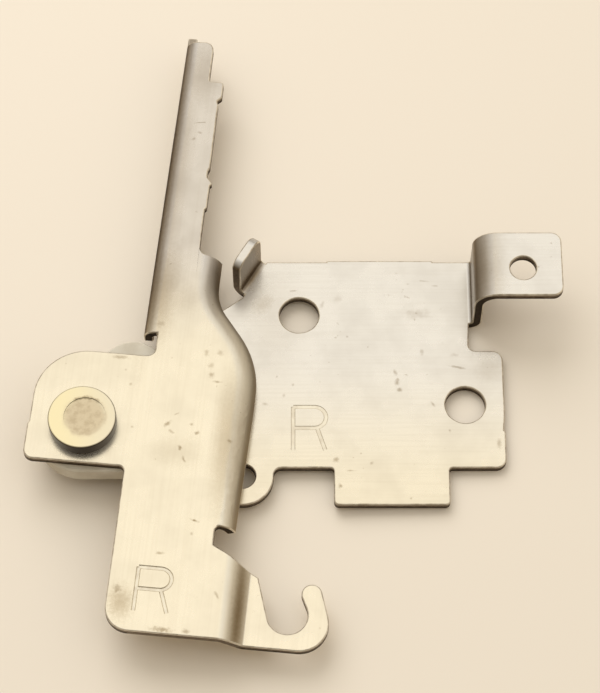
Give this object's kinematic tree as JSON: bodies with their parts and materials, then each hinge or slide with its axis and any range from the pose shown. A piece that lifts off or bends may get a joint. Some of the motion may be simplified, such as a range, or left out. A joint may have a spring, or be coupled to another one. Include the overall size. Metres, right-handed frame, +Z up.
{
  "type": "dishwasher door hinge",
  "caption": "Pressed-steel lever turning on a riveted mounting plate, with a lipped door arm, a joggled spring hook, a stop tab and a raised screw tab.",
  "frame": {"origin": "on the pivot axis, at the end face of the rivet's tail, which is the lowest point of the hinge as it lies", "axes": "+Z up the rivet to its head, +X across the mounting plate to its screw tab, +Y along the mounting plate's side towards the door arm's end"},
  "size_m": [0.1122, 0.1459, 0.0171],
  "materials": {
    "lever_steel": "satin bright-rolled sheet",
    "plate_steel": "satin bright-rolled sheet",
    "natural_nylon": "matt natural moulding",
    "rivet_steel": "plated, with a dull pressed centre"
  },
  "bodies": {
    "base": {"mounting_plate": "plate_steel", "friction_plate": "natural_nylon", "pivot_rivet": "rivet_steel"},
    "lever": {"hinge_lever": "lever_steel"}
  },
  "joints": [
    {"name": "lever_pivot", "type": "hinge", "parent": "base", "child": "lever", "pos_m": [0, 0, 0], "axis": [0, 0, 1], "range_deg": [-3.5, 89]}
  ]
}
